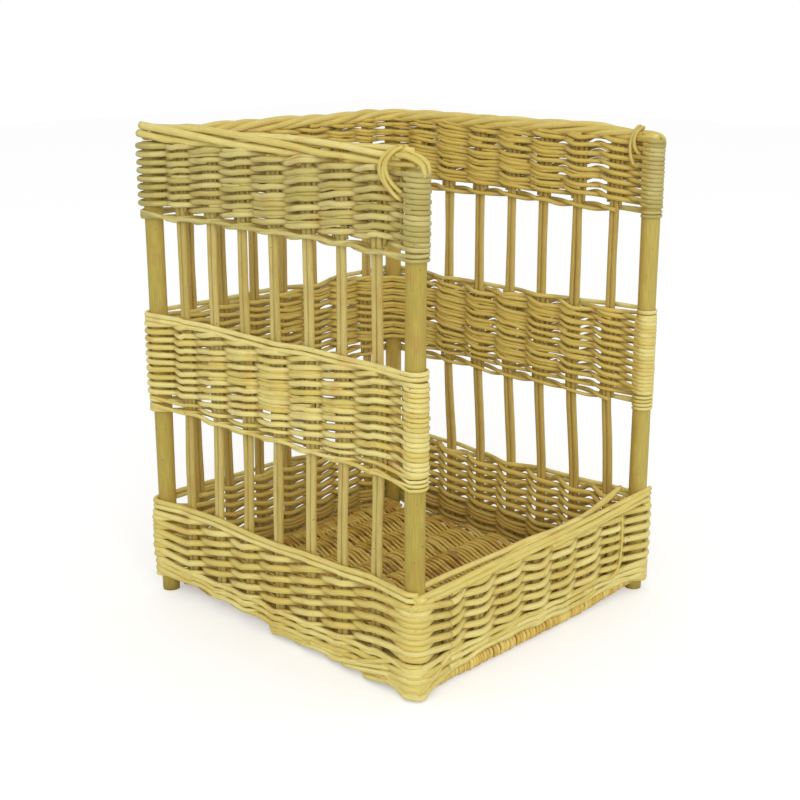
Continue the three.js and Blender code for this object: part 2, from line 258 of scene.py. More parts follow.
def rod_piece(name, rods, material, replaced, sides=10):
    """One piece made of many rods. Each rod is a path, its radius, which may also be given for each
    point or as a half width and a half height, a direction that it never runs along, and a tone
    from 0, dark, to 1, pale."""
    points, faces, smooth, places, tones = [], [], [], [], []
    turns = np.arange(sides) * 2 * np.pi / sides
    first = 0
    for path, radii, across, tone in rods:
        path = np.asarray(path, float)
        count = len(path)
        radii = np.asarray(radii, float)
        if radii.ndim < 2:
            radii = np.broadcast_to(radii, count)[:, None]
        radii = np.broadcast_to(radii, (count, 2))
        ahead = np.gradient(path, axis=0)
        ahead /= np.linalg.norm(ahead, axis=1)[:, None]
        out = np.cross(np.broadcast_to(across, path.shape), ahead)
        out /= np.linalg.norm(out, axis=1)[:, None]
        up = np.cross(ahead, out)
        wide = radii[:, None, :1] * np.cos(turns)[None, :, None] * out[:, None]
        high = radii[:, None, 1:] * np.sin(turns)[None, :, None] * up[:, None]
        points.append((path[:, None] + wide + high).reshape(-1, 3))
        tones.append(np.full(count * sides, tone))
        reached = distances(path) + tone * grain_shift
        width = 2 * math.pi * radii.mean() / sides
        ring = first + np.arange(count - 1)[:, None] * sides
        low = ring + np.arange(sides)[None]
        next_low = ring + (np.arange(sides)[None] + 1) % sides
        skin = np.stack([low, next_low, next_low + sides, low + sides], axis=-1).reshape(-1, 4)
        faces.extend(skin.tolist())
        smooth.extend([True] * len(skin))
        left = np.arange(sides) * width
        right = left + width
        start, end = reached[:-1, None], reached[1:, None]
        skin_places = [(start, left), (start, right), (end, right), (end, left)]
        corners = [np.stack(np.broadcast_arrays(*corner), -1) for corner in skin_places]
        places.append(np.stack(corners, axis=2).reshape(-1, 2))
        last = first + (count - 1) * sides
        faces.append([first + k for k in range(sides)][::-1])
        faces.append([last + k for k in range(sides)])
        smooth.extend([False, False])
        cap = np.stack([np.cos(turns), np.sin(turns)], -1) * radii[0] + reached[0]
        places.extend([cap[::-1], cap])
        first += count * sides
    mesh = bpy.data.meshes.new(name)
    mesh.from_pydata(np.concatenate(points).tolist(), [], faces)
    mesh.polygons.foreach_set("use_smooth", smooth)
    layer = mesh.uv_layers.new(name="rod")
    layer.data.foreach_set("uv", np.concatenate(places).ravel())
    attribute = mesh.attributes.new("tone", "FLOAT", "POINT")
    attribute.data.foreach_set("value", np.concatenate(tones))
    mesh.materials.append(material)
    mesh.update()
    piece = bpy.data.objects.new(name, mesh)
    bpy.context.collection.objects.link(piece)
    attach(piece, "root")
    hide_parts(*replaced)
    return piece


curve_steps = 6  # between two marks, before the points are spaced evenly


def smooth_path(marks, spacing=5 * mm):
    """Points at even steps on a smooth curve through the marks."""
    marks = np.asarray(marks, float)
    before = np.concatenate([[2 * marks[0] - marks[1]], marks[:-1]])
    after = np.concatenate([marks[1:], [2 * marks[-1] - marks[-2]]])
    slope = (after - before) / 2
    share = np.linspace(0, 1, curve_steps + 1)[:-1, None, None]
    start, end = marks[None, :-1], marks[None, 1:]
    leave, arrive = slope[None, :-1], slope[None, 1:]
    curve = (
        (2 * share**3 - 3 * share**2 + 1) * start
        + (share**3 - 2 * share**2 + share) * leave
        + (3 * share**2 - 2 * share**3) * end
        + (share**3 - share**2) * arrive
    )
    curve = np.concatenate([curve.transpose(1, 0, 2).reshape(-1, 3), marks[-1:]])
    reached = distances(curve)
    count = max(3, int(round(reached[-1] / spacing)) + 1)
    even = np.linspace(0, reached[-1], count)
    return np.stack([np.interp(even, reached, curve[:, axis]) for axis in range(3)], -1)


chance = np.random.default_rng(11)
half_x = post_spacing_x / 2
half_y = post_spacing_y / 2
base_willow = willow(
    "base_willow",
    straw=paint(226, 190, 90), pale=paint(250, 228, 136),
    ochre=paint(174, 114, 46), inside=paint(228, 190, 90),
    roughness=0.62, stain=0.2, dirt=0.5, inside_shade_and_tint=0.35,
)


front_rise = 6 * mm  # how far the front stick rises between these two places along it
front_rise_places = (75 * mm, 165 * mm)
front_share = 0.75  # the rise starts at this share of the way to the front


def stick_height(x, y):
    """The middle of a base stick. The front one rises a little towards the front-right post."""
    rise = np.interp(x, front_rise_places, (0, front_rise)) if y < 0 else 0
    near_front = np.clip(-y / half_y - front_share, 0, 1 - front_share) / (1 - front_share)
    return base_middle + rise * near_front


stick_places = [(k - inner_sticks // 2) * base_stick_spacing for k in range(inner_sticks)]
stick_places = [-half_y, *stick_places, half_y]
for number, y in enumerate(stick_places):
    places = np.linspace(-base_stick_reach, base_stick_reach, 8)
    marks = [(x, y, stick_height(x, y)) for x in places]
    stick = (smooth_path(marks, 20 * mm), base_stick_radius, (0, 0, 1), chance.uniform(0.2, 0.8))
    node = f"base_stick_{number + 1}"
    rod_piece("willow_" + node, [stick], base_willow, [node], sides=12)


# The base sheet is woven of paired rods that run from front to back, over one stick and under the
# next, and cross between the sticks. At the front and the back they are bent round the last stick.
pair_pitch = 6.8 * mm
base_weaver_side = 1.85 * mm  # half the width of a weaver, which is a little flat
base_weaver_rise = 2.1 * mm
edge_weaver_share = 1.4  # the outermost weavers are that much wider
edge_pitch = 4.3 * mm
edge_radius = base_stick_radius + 2.3 * mm
base_lift = base_stick_radius + base_weaver_rise
sheet_margin = 12 * mm  # from the middle of a side wall to the middle of the outermost pair
past_stick = 7 * mm  # how far to either side of a stick a weaver runs straight
cross_aside = 3.4 * mm  # how far to the side, and below or above, a weaver crosses its fellow
cross_below = 2.6 * mm

base_rods = []
pair_count = int(2 * (half_x - sheet_margin) / pair_pitch)
for pair in range(pair_count + 1):
    middle = (pair - pair_count / 2) * pair_pitch + (0.5 if pair % 2 else -0.5) * mm
    for strand in (0, 1):
        marks = []
        for number, y in enumerate(stick_places):
            over = (number + strand) % 2 == 0
            level = base_middle + (base_lift if over else -base_lift)
            at = middle + chance.normal(0, 0.5 * mm)
            inner = 0 < number < len(stick_places) - 1
            for side in (-1, 1):
                if inner or side * y < 0:
                    marks.append((at, y + side * past_stick, level + chance.normal(0, 0.25 * mm)))
            if number < len(stick_places) - 1:
                # Halfway to the next stick the rod that comes up lies over the one that goes down
                crossing = (y + stick_places[number + 1]) / 2
                across = cross_aside if over else -cross_aside
                height = base_middle + (-cross_below if over else cross_below)
                marks.append((at + across, crossing, height))
        path = smooth_path(marks, 6 * mm)
        wide = base_weaver_side * chance.uniform(0.9, 1.06)
        wide *= edge_weaver_share if pair in (0, pair_count) else 1
        base_rods.append((path, [[wide, base_weaver_rise]], (0, 0, 1), chance.uniform(0, 1)))
for side in (-1, 1):
    x = -base_stick_reach
    while x < base_stick_reach:
        # The turns lie close together, with a wider gap here and there
        x += edge_pitch + chance.normal(0, 0.3 * mm)
        x += chance.uniform(0.8, 2.2) * mm if chance.uniform() < 0.22 else 0
        reach = edge_radius + chance.normal(0, 0.3 * mm)
        lean = chance.normal(0, 1.0 * mm)
        middle = stick_height(x, side * half_y)
        marks = [(x - lean * 2, side * (half_y - 26 * mm), base_middle + 2.2 * mm)]
        marks.append((x - lean, side * (half_y - 13 * mm), middle + 4.4 * mm))
        for angle in (90, 45, 0, -45, -90):
            turn = math.radians(angle)
            y = side * (half_y + reach * math.cos(turn))
            marks.append((x + lean * (1 - angle / 90) / 2, y, middle + reach * math.sin(turn)))
        marks.append((x + lean, side * (half_y - 14 * mm), middle - 4.4 * mm))
        path = smooth_path(marks, 3.4 * mm)
        radius = 2.2 * mm * chance.uniform(0.9, 1.08)
        base_rods.append((path, radius, (1, 0.01, 0), chance.uniform(0, 1)))
rod_piece("base_rods", base_rods, base_willow, ["base_weave"], sides=8)


# The four corner posts are thick peeled willow sticks that stand on the ground. Everything else is
# woven round them, so they stay as they were cut: smooth, a little crooked, with sawn ends.
post_radius = 10 * mm
post_top = 510 * mm
post_bow = 0.7 * mm
post_steps = 24
post_waver = 0.02  # how much thicker and thinner a post gets along its height, as a share
sawn_share = 0.93  # how thick a post is at its sawn ends, where the edge is rubbed off

post_willow = willow(
    "post_willow",
    straw=paint(185, 164, 72), pale=paint(204, 183, 92),
    ochre=paint(186, 142, 70), inside=paint(196, 164, 76),
    stain=0.4,
)
corners = {
    "front_left": (-half_x, -half_y),
    "front_right": (half_x, -half_y),
    "back_right": (half_x, half_y),
    "back_left": (-half_x, half_y),
}
# How pale each post is, from 0 to 1
post_tones = {"front_left": 0.12, "front_right": 0.9, "back_right": 0.5, "back_left": 0.3}
for corner, (x, y) in corners.items():
    heights = np.linspace(0, post_top, post_steps)
    lean = np.sin(heights / post_top * math.pi)
    bend = chance.normal(0, post_bow, 2)
    path = np.stack([x + bend[0] * lean, y + bend[1] * lean, heights], -1)
    radii = post_radius * (1 + post_waver * np.sin(heights * 23 + x * 90))
    radii[[0, -1]] *= sawn_share
    post = (path, radii, (1, 0, 0), post_tones[corner] + chance.uniform(-0.06, 0.06))
    node = "corner_post_" + corner
    rod_piece("willow_post_" + corner, [post], post_willow, [node], sides=32)


# The stakes stand between the posts in pairs. In the two upper bands a thinner stake is pushed in on
# either side of the pair, so that the thin rods there are held apart, and one more beside the
# front-left post.
stakes_per_wall = 7
stake_radius = 3.2 * mm
side_stake_radius = 1.9 * mm
side_stake_offset = 8.4 * mm
post_stake_gap = 7.5 * mm  # from the skin of the front-left post to the middle of the stake beside it
foot_inset = 5 * mm  # how far above the weave's lower edge a stake starts
stake_levels = (60, 112, 164, 216, 270, 327, 380, 432)  # where a stake may bend a little, in mm
middle_band = (216 * mm, 327 * mm)
top_band = (432 * mm, 510 * mm)
front_band_top = 104 * mm

# Each wall starts at one post and runs to the next: where, along what, and how far
walls = {
    "front": ((-half_x, -half_y), (1, 0), post_spacing_x),
    "right": ((half_x, -half_y), (0, 1), post_spacing_y),
    "back": ((half_x, half_y), (-1, 0), post_spacing_x),
    "left": ((-half_x, half_y), (0, -1), post_spacing_y),
}
tall_walls = ("right", "back", "left")
# The lower edge of the weave: at which shares of each wall it lies how high, in mm
lower_edge = {
    "front": ((0, 0.1, 0.25, 0.5, 0.62, 0.75, 0.93, 1), (7, 10, 16.5, 16, 14, 16, 14, 8)),
    "right": ((0, 0.15, 0.8, 1), (8, 8, 7, 8)),
    "back": ((0, 0.2, 0.7, 1), (8, 7, 9, 17.5)),
    "left": ((0, 0.14, 0.26, 0.37, 0.42, 0.75, 1), (17.5, 17, 13, 10, 4, 4.5, 4)),
}


def on_wall(wall, along, inward, height):
    """A place along a wall, into the basket from its middle and above the ground."""
    (x, y), (step_x, step_y), _ = walls[wall]
    return (x + along * step_x - inward * step_y, y + along * step_y + inward * step_x, height)


def edge_height(wall, along):
    return np.interp(along / walls[wall][2], *lower_edge[wall]) * mm


stake_willow = willow(
    "stake_willow",
    straw=paint(196, 174, 92), pale=paint(214, 196, 120),
    ochre=paint(194, 148, 76), inside=paint(198, 164, 78),
    inside_shade_and_tint=0.6,
)
stake_places = {}
foot_places = {}
foot_shifts = {"front": 0, "right": -7.5 * mm, "back": 0, "left": -3 * mm}
for wall, (_, _, length) in walls.items():
    space = length / (stakes_per_wall + 1)
    stake_places[wall] = [
        space * (index + 1) + chance.normal(0, 1.3 * mm) for index in range(stakes_per_wall)
    ]
    foot_places[wall] = [place + foot_shifts[wall] for place in stake_places[wall]]
    for index, middle in enumerate(stake_places[wall]):
        foot = edge_height(wall, middle) + foot_inset
        if wall == "front":
            levels = [foot, 60 * mm, front_band_top]
            bands = []
        else:
            levels = [foot, *(level * mm for level in stake_levels), post_top]
            bands = [middle_band, top_band]
        rods = []
        for side in (-1, 1):
            marks = []
            for level in levels:
                offset = side * (stake_radius - 0.1 * mm) + chance.normal(0, 0.35 * mm)
                offset += foot_shifts[wall] * np.interp(level, (112 * mm, 216 * mm), (1, 0))
                marks.append(on_wall(wall, middle + offset, chance.normal(0, 0.25 * mm), level))
            path = smooth_path(marks, 12 * mm)
            taper = np.linspace(1.03, 0.93, len(path))
            rods.append((path, stake_radius * taper, (1, 0.01, 0), chance.uniform(0.1, 0.9)))
        for low, high in bands:
            places = [middle - side_stake_offset, middle + side_stake_offset]
            if wall == "left" and index == stakes_per_wall - 1:
                places.append(length - post_radius - post_stake_gap)
            for at in places:
                at += chance.normal(0, 0.6 * mm)
                ends = low + chance.uniform(4, 9) * mm, high - chance.uniform(4, 8) * mm
                marks = []
                for level in np.linspace(*ends, 4):
                    shift = chance.normal(0, 0.8 * mm)
                    marks.append(on_wall(wall, at + shift, chance.normal(0, 0.3 * mm), level))
                path = smooth_path(marks, 14 * mm)
                rods.append((path, side_stake_radius, (1, 0.01, 0), chance.uniform(0, 0.8)))
        node = f"{wall}_stake_pair_{index + 1}"
        rod_piece(f"{wall}_stakes_{index + 1}", rods, stake_willow, [node])


# The bottom band goes round all four walls. Rows of waling, each of three rods, start it at the base,
# and over them lie rows of pairing, where two rods cross between all the stakes. Two thick rods close
# it along the top of three walls.
weave_willow = willow(
    "weave_willow",
    straw=paint(226, 204, 108), pale=paint(246, 232, 150),
    ochre=paint(220, 174, 88), inside=paint(226, 197, 98),
    # Painted shade inside, low down and between the rods, with a browner tint and brown stain
    inside_shade_and_tint=0.75, low_stain_and_shade=0.42, crevice_shade=0.4,
)
pairing_rows = [44.5, 56.5, 68.5, 80.5, 92, 103]
pairing_radius = 3.65 * mm
row_places = {"front": (0.96, -1.3), "right": (0.93, 6.5), "back": (0.93, 6.0), "left": (1.0, 0.0)}
# How a rod of two lies on each wall, first outside a stake and then inside, in mm: its level there,
# how far it rises past the stake, and its level where it crosses the other rod after that
courses = {
    "front": ((-0.2, 1.2, 3.2), (-0.6, -2.4, -1.6)),
    "right": ((-5.0, -2.2, -3.8), (-1.6, 1.7, 3.6)),
    "back": ((-4.4, -1.5, -3.0), (-1.0, 0.8, 3.0)),
    "left": ((1.2, 2.2, 3.6), (-1.2, -6.5, -3.7)),
}
# How steeply the rods of a row of three rise
slants = {"front": 0.7, "right": -0.95, "back": -0.3, "left": 1.0}
# How far a rod that goes in lies behind the one that comes out, or before it if negative
crossing_depths = {"front": 0.9 * mm, "right": 1.6 * mm, "back": 1.6 * mm, "left": 1.6 * mm}
pair_gap = 5.8 * mm  # between the two rods of a row where they pass a corner post
wale_radius = 2.8 * mm
wale_top = 35 * mm
wale_gap = 2.6 * mm  # between the three rods of a row where they pass a corner post
wale_cross = 1.9 * mm  # how far a rod of three rises where it crosses, and from stake to stake
wale_step = 1.6 * mm
stroke_reach = 5.5 * mm  # how far to either side of a stake pair a rod runs straight
stroke_scatter = 0.4 * mm
pressed_share = (0.55, 0.2)  # how much of its width and its height a rod loses where it is pressed
pressed_reach = (15 * mm, 26 * mm)  # from a front post's middle: pressed within, and not past it
lap_thinning = 0.35  # how much thinner a rod gets where it laps the next one
front_reach = (20 * mm, 60 * mm)  # from the front and left walls: past it, another thickness
halfway = 12  # from this stake on, counted from the front-right post, the front-left post is nearer
wrap_gap = 1.2 * mm  # from the skin of a front post to the middle of a rod that is pressed on it


def cut_into_rods(path, butt, tip, length, lap=45 * mm, shift=1.6 * mm, far=1.0, pressed=0):
    """Lays rods end to end along a path. Each is thick at one end, and laps the next one. Their
    thickness on the right and back walls is another, and round the front posts they may be pressed
    flat."""
    reached = distances(path)
    rods = []
    start = -chance.uniform(0.1, 0.9) * length
    while start < reached[-1]:
        end = start + length * chance.uniform(0.8, 1.2)
        inside = (reached >= start - lap) & (reached <= end + lap)
        if inside.sum() > 4:
            piece = path[inside].copy()
            place = reached[inside]
            radii = butt + (tip - butt) * np.clip((place - start) / (end - start), 0, 1)
            ending = np.clip((place - end) / lap, 0, 1)
            starting = np.clip((start - place) / lap, 0, 1)
            piece[:, 2] += shift * (ending - starting)
            radii = radii * (1 - lap_thinning * np.maximum(ending, starting))
            away = np.minimum(piece[:, 0] + half_x, piece[:, 1] + half_y)
            radii = radii * np.interp(away, front_reach, (1, far))
            to_post = np.hypot(np.abs(piece[:, 0]) - half_x, piece[:, 1] + half_y)
            flat = np.interp(to_post, pressed_reach, (pressed, 0))
            sizes = radii[:, None] * (1 - flat[:, None] * np.array(pressed_share))
            rods.append((piece, sizes, (0, 0, 1), chance.uniform(0, 1)))
        start = end
    return rods


def round_post(wall, at_end, angles, radius, heights):
    """Marks round the post at the start or the end of a wall. At 0 degrees it points along the wall
    and at -90 outwards."""
    centre = walls[wall][2] if at_end else 0
    angles = np.radians(angles)
    heights = np.broadcast_to(heights, angles.shape)
    return [
        on_wall(wall, centre + radius * math.cos(angle), radius * math.sin(angle), height)
        for angle, height in zip(angles, heights)
    ]


def past_stakes(wall, middle, inward, level, rise):
    """Marks where a rod passes a stake pair, with a rise from its first side to its second."""
    return [
        on_wall(
            wall,
            middle + side * stroke_reach + chance.normal(0, 0.5 * mm),
            inward + chance.normal(0, 0.2 * mm),
            level + side * rise / 2 + chance.normal(0, stroke_scatter),
        )
        for side in (-1, 1)
    ]


def wave(wall, along, height):
    """How far the rows of a band rise and sink together along a wall."""
    place = along + 0.9 * list(walls).index(wall)
    return (0.9 * math.sin(place * 21 + height * 9) + 0.6 * math.sin(place * 47 + height * 17)) * mm


def past_wall(wall, first, strands, level_at, radius, size, places=stake_places):
    """Marks of a rod along one wall. It crosses the other rods of its row between the stakes. Of
    two rods one is outside at a time, and of three, two are. First says where in that order it
    starts."""
    marks = []
    for index, middle in enumerate(places[wall]):
        phase = (first + index) % strands
        out = phase < strands - 1
        face = 1 if out else -1
        half = stake_radius + radius
        level = level_at(wall, middle) + chance.normal(0, stroke_scatter)
        if strands == 2:
            height, rise, crossed = (size * value * mm for value in courses[wall][phase])
        else:
            crossed = face * slants[wall] * size * wale_cross
            height = slants[wall] * (phase - 0.5) * wale_step if out else 0
            rise = crossed * 0.55
        marks.extend(past_stakes(wall, middle, -face * half, level + height, rise))
        if index < stakes_per_wall - 1:
            between = (middle + places[wall][index + 1]) / 2
            depth, shift = face * crossing_depths[wall], crossed
            if phase < strands - 2:
                depth, shift = -half - 0.4 * mm, slants[wall] * 0.8 * mm
            marks.append(on_wall(wall, between, depth, level + shift))
    return marks


band_rods = []
post_angles = (-110, -75, -40, 0)  # round the outside of a corner post, from wall to wall
short_angles = (-110, -45, 20)  # the same for thinner rods
inner_angles = (115, 135, 155)  # round its inside
for height in pairing_rows:
    for strand in (0, 1):
        marks = []
        # The left wall has its two closing rods in place of the last row
        order = [wall for wall in walls if height < 100 or wall != "left"]
        for wall in order:
            length = walls[wall][2]

            def row_level(wall, along):
                # The rows lie higher at the two front posts
                share, shift = row_places[wall]
                start = np.clip(1 - along / (50 * mm), 0, 1)
                end = np.clip(1 - (length - along) / (55 * mm), 0, 1)
                starts = {"front": 5 + 0.04 * height, "right": 1 - 0.01 * height}
                ends = {"front": 5.0, "left": 3.0}
                level = height * share + shift
                level = level + start * starts.get(wall, 0) + end * ends.get(wall, 0)
                return level * mm + wave(wall, along, height * mm)

            marks.extend(past_wall(wall, strand, 2, row_level, pairing_radius, 1.0, foot_places))
            if wall == order[-1] and height > 100:
                continue
            level = row_level(wall, length) + (0.5 - strand) * pair_gap
            # At the front-right post one rod of each pair passes inside
            inside = wall == "front" and strand == 0
            angles = inner_angles if inside else post_angles
            marks.extend(round_post(wall, True, angles, post_radius + pairing_radius, level))
        if order[-1] == "left":
            marks.append(marks[0])
        band_rods.extend(cut_into_rods(smooth_path(marks), 3.8 * mm, 3.35 * mm, 820 * mm, far=0.88))

# Rows 0 to 2 go round the whole basket. Rows -2 and -1 only fill the wall where its lower edge dips
# near the front-left post, and the wider right and back walls.
for row in range(-2, 3):

    def wale_level(wall, along):
        low = edge_height(wall, along) + wale_radius
        if row == -1:
            return low + 1.2 * mm
        if row == -2:
            return (13 * mm if wall == "left" else 31.5 * mm) + wave(wall, along, 0.05)
        base = max(low, 14.5 * mm)
        top = wale_top + (4.5 * mm if wall in ("right", "back") else 0)
        return base + (top - base) * (row + 0.3) / 2.6 + wave(wall, along, 0.02 * row) * 0.9

    for strand in range(3):
        marks = []
        for wall in walls if row >= 0 else (*tall_walls, "front"):
            marks.extend(past_wall(wall, strand, 3, wale_level, wale_radius, 1.7, foot_places))
            level = wale_level(wall, walls[wall][2]) + (1 - strand) * wale_gap
            marks.extend(round_post(wall, True, post_angles, post_radius + wale_radius, level))
        parts = [marks + marks[:1]]
        if row < 0:
            # The three rods start one behind the other, each with its end tucked in
            near = (30 - 12 * strand) * mm
            left_part = [(x, y, z) for x, y, z in marks if x < -110 * mm and y < near]
            x, y, z = left_part[0]
            left_part[0] = (x + 8 * mm, y, z + 4 * mm)
            far_part = [(x, y, z) for x, y, z in marks if x > -100 * mm and y > -half_y + 8 * mm]
            parts = [left_part, far_part]
        for part in parts:
            band_rods.extend(cut_into_rods(smooth_path(part), 3.0 * mm, 2.6 * mm, 700 * mm))


# How far an edge rod's level is the one of its end, at the stakes counted from the front-right post
end_shares = {1: 0.55, 2: 0.25, 3: 0.1, 19: 0.1, 20: 0.3, 21: 0.6}


def edge_rod(height, ends, radius, inside_places, turns, other_walls=0, places=stake_places, pressed=0):
    """A rod that closes a band along three walls, outside the stakes except at a few places, which
    are counted from the front-right post. It is wound round the two front posts at its ends, and
    may lie higher on the right and back walls."""
    half = stake_radius + radius
    around = post_radius + radius
    wound = post_radius + (wrap_gap if pressed else radius)
    marks = round_post("right", False, np.linspace(-95 - turns[0], -95, 9), wound, ends[0])
    number = 1
    for wall in tall_walls:
        for middle in places[wall]:
            level = height + (ends[0 if number < halfway else 1] - height) * end_shares.get(number, 0)
            level += wave(wall, middle, 0.1) + chance.normal(0, 0.3 * mm)
            level += 0 if wall == "left" else other_walls
            inward = half if number in inside_places else -half
            marks.extend(past_stakes(wall, middle, inward, level, 0))
            number += 1
        if wall != "left":
            marks.extend(round_post(wall, True, post_angles, around, height))
    marks.extend(round_post("left", True, np.linspace(-95, turns[1] - 95, 9), wound, ends[1]))
    return cut_into_rods(smooth_path(marks), radius * 1.05, radius * 0.9, 760 * mm, pressed=pressed)


# Four rods rise across the waling on the left wall and go round the front-left post. In mm: where
# each one starts, and how high it starts and ends.
rising_rods = ((262, 5, 27), (284, 5, 20), (300, 12, 36), (318, 3.5, 12))
rising_end = 368
for start, low, high in rising_rods:
    marks = []
    for share, depth in ((0, 0), (0.12, -8), (0.4, -10.5), (0.75, -10), (1, -9.5)):
        along = start + (rising_end - start) * share
        marks.append(on_wall("left", along * mm, depth * mm, (low + (high - low) * share) * mm))
    marks.extend(round_post("left", True, (-95, -60, -20), post_radius + 4 * mm, (high + 2) * mm))
    band_rods.append((smooth_path(marks), 2.7 * mm, (0, 0, 1), chance.uniform(0, 1)))

# Two thick rods close the band along its top edge
closing_radius = 2.9 * mm
for height, ends, inner, turns, lift in (
    (102.8, (103, 106), (6, 12), (100, 95), 1.6),
    (108.8, (109, 112), (4, 10), (180, 60), 1.0),
):
    ends = [end * mm for end in ends]
    band_rods += edge_rod(height * mm, ends, closing_radius, inner, turns, lift * mm, foot_places)

# One thin rod stands outside the front wall near its last stake, with its foot bent into the waling
marks = (
    (288, -6, 33), (310, -9.5, 32), (321, -11.5, 40), (325, -12, 60), (326, -12, 82), (327, -10, 101),
)
path = smooth_path([on_wall("front", *(value * mm for value in mark)) for mark in marks])
band_rods.append((path, 1.4 * mm, (0, 1, 0.1), 0.0))
bottom_nodes = ["bottom_weave_" + wall for wall in walls]
rod_piece("bottom_band_rods", band_rods, weave_willow, bottom_nodes, sides=8)


# The front border is a bundle of eight thick rods, laid along the top of the low front wall. They
# start at the front-left post, lap one another and end at the front-right post.
border_willow = willow(
    "border_willow",
    straw=paint(228, 208, 112), pale=paint(246, 230, 146),
    ochre=paint(218, 176, 92), inside=paint(222, 192, 98),
    inside_shade_and_tint=0.5,
)
border_rods = []
# Each rod, in mm: where along it starts and ends, its height and depth on the way, and its radius
for start, end, heights, depths, radius in (
    (-17, 210, (101, 103, 105, 108), (-11, -9, -8, -5), 3.3),
    (-12, 300, (107, 108, 110, 112), (-10, -7, -7, -5), 3.4),
    (20, 377, (100, 104, 107, 116), (-7, -8, -9, -12), 3.3),
    (70, 381, (103, 107, 112, 119), (-3, -5, -5, -10), 3.2),
    (130, 352, (106, 110, 113, 124), (-1, 1, 4, 11), 3.4),
    (-4, 262, (110, 112, 112, 113), (3, 3, 2, -1), 3.3),
    (215, 340, (108, 111, 114, 120), (3, 3, 5, 9), 3.1),
    (200, 376, (101, 103, 107, 110), (-8, -9, -10, -12), 3.0),
):
    marks = []
    for share in np.linspace(0, 1, 7):
        along = (start + (end - start) * share) * mm
        height = np.interp(share, (0, 0.35, 0.7, 1), heights) * mm + chance.normal(0, 0.5 * mm)
        depth = np.interp(share, (0, 0.35, 0.7, 1), depths) * mm + chance.normal(0, 0.3 * mm)
        marks.append(on_wall("front", along, depth, height))
    path = smooth_path(marks)
    radii = np.linspace(radius, radius - 0.5, len(path)) * mm
    border_rods.append((path, radii, (0, 0, 1), chance.uniform(0.2, 1)))
rod_piece("front_border_rods", border_rods, border_willow, ["front_border"], sides=10)


# The middle band is woven of single thin rods, which go in and out of the stakes of three walls and
# turn round the two front posts. Three crossing rods and two more over them close it below, and two
# long ones above.
corner_lift = 3 * mm  # how much higher the upper bands' rows lie on the right and back walls
stack_gap = 4.3 * mm  # between crossing rods where they are wound round a front post


def woven_rows(pairs, lowest, pitch, fans, butt, tip, size):
    """Rows of single rods on three walls, two to a level. A rod goes to one front post, is wound one
    and a half times round it and comes back, and the levels fan out a little at the posts."""
    around = post_radius + (butt + tip) / 2
    wound = post_radius + wrap_gap
    turned = np.linspace(0, 540, 13)
    middle_height = lowest + pitch * (pairs - 1) / 2

    def level_of(row, number):
        near = {0: 1, 1: 0.6, 2: 0.3, 3: 0.1, 22: 0.1, 23: 0.3, 24: 0.6, 25: 1}.get(number, 0)
        fan = 1 + (fans[0 if number < halfway else 1] - 1) * near
        flat = lowest + row // 2 * pitch + (row % 2 - 0.5) * (0.8 * mm + near * pitch * 0.42)
        return middle_height + (flat - middle_height) * fan

    # The first rod is wound round the front-left post below its row
    start = level_of(0, 25) + (turned[6:] - 495) / 720 * pitch * fans[1]
    marks = round_post("left", True, 90 - turned[6:], wound, start)
    for row in range(2 * pairs):
        passing = []
        number = 1
        for wall in tall_walls:

            def row_level(wall, along):
                index = int(np.argmin(np.abs(np.array(stake_places[wall]) - along)))
                lift = 0 if wall == "left" else corner_lift
                level = level_of(row, number + index) + lift
                return level + wave(wall, along, row // 2 * pitch) * 0.8

            first = 0 if (number + row) % 2 == 0 else 1
            passing.extend(past_wall(wall, first, 2, row_level, (butt + tip) / 2, size))
            number += stakes_per_wall
            if wall != "left":
                # Each corner post counts as one more stake
                out = (number + row) % 2 == 0
                angles = short_angles if out else inner_angles
                passing.extend(round_post(wall, True, angles, around, level_of(row, halfway)))
                number += 1
        back_again = row % 2 == 0
        marks.extend(passing[::-1] if back_again else passing)
        if row < 2 * pairs - 1:
            # Each turn round a front post rises by half a level, and lies close on the one before
            at_left = ("left", True, 90, 25)
            wall, at_end, angle, edge = ("right", False, -90, 0) if back_again else at_left
            level = (level_of(row, edge) + level_of(row + 1, edge)) / 2
            rise = pitch * fans[0 if back_again else 1] / 2
            heights = level + (turned - 315) / 360 * rise
            marks.extend(round_post(wall, at_end, angle - turned, wound, heights))
    return cut_into_rods(smooth_path(marks, 4.6 * mm), butt, tip, 800 * mm, far=0.86, pressed=1)


def short_rods(count, lowest, highest, pitch, radius, size):
    """Short thin rods pushed in between the rows. One in six is on the left wall, and the others on
    the right and back walls and round the corner between them."""
    rods = []
    for number in range(count):
        row = chance.integers(int((highest - lowest) / pitch))
        first = chance.integers(2)
        on_left = number % 6 == 0

        def row_level(wall, along):
            lift = 0 if wall == "left" else corner_lift
            return lowest + (row + 0.5) * pitch + lift + wave(wall, along, row * pitch) * 0.8

        if on_left:
            marks = past_wall("left", first, 2, row_level, radius, size)
        else:
            marks = past_wall("right", first, 2, row_level, radius, size)
            angles = inner_angles if first == 0 else short_angles
            corner_level = row_level("back", 0)
            marks.extend(round_post("right", True, angles, post_radius + radius, corner_level))
            marks.extend(past_wall("back", first, 2, row_level, radius, size))
        start = chance.integers(0, 9 if on_left else 25)
        path = smooth_path(marks[start : start + chance.integers(7, 15)], 4.6 * mm)
        radii = np.linspace(radius * 1.1, radius * 0.8, len(path))
        rods.append((path, radii, (0, 0, 1), chance.uniform(0, 1)))
    return rods


